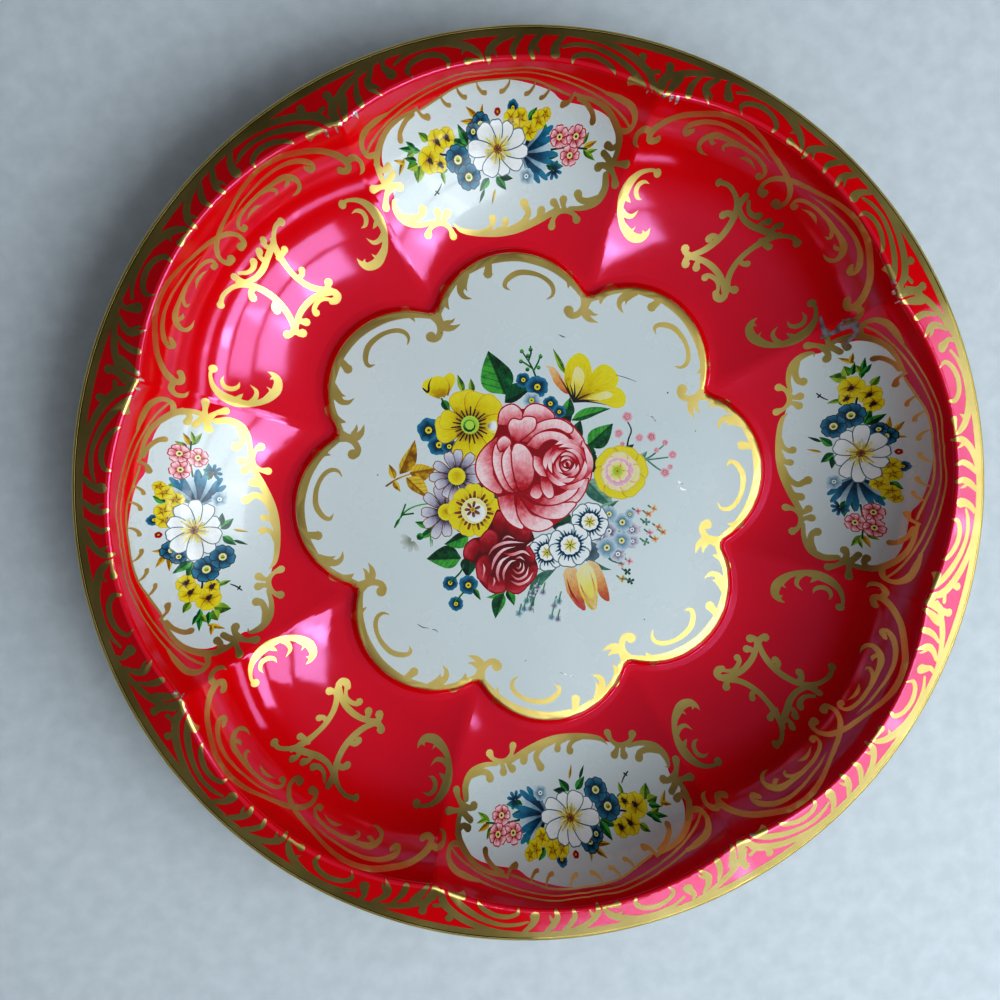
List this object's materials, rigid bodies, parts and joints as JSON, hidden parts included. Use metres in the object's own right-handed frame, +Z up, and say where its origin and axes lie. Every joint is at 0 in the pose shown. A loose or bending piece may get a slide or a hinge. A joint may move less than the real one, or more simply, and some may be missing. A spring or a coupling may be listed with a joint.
{
  "type": "decorated tin dish",
  "caption": "Shallow round pressed tinplate dish with eight fluted lobes, a raised flower-shaped middle panel and a wired, curled rim.",
  "frame": {"origin": "on the surface that the dish stands on, under the middle of the dish", "axes": "+Z up out of the dish; +X and +Y through the middles of two lobes, each with a white medallion"},
  "size_m": [0.254, 0.254, 0.0374],
  "materials": {
    "printed_tinplate": "gloss enamel print",
    "steel_wire": "drawn wire"
  },
  "bodies": {
    "root": {"dish_pressing": "printed_tinplate", "rim_wire": "steel_wire"}
  },
  "joints": []
}
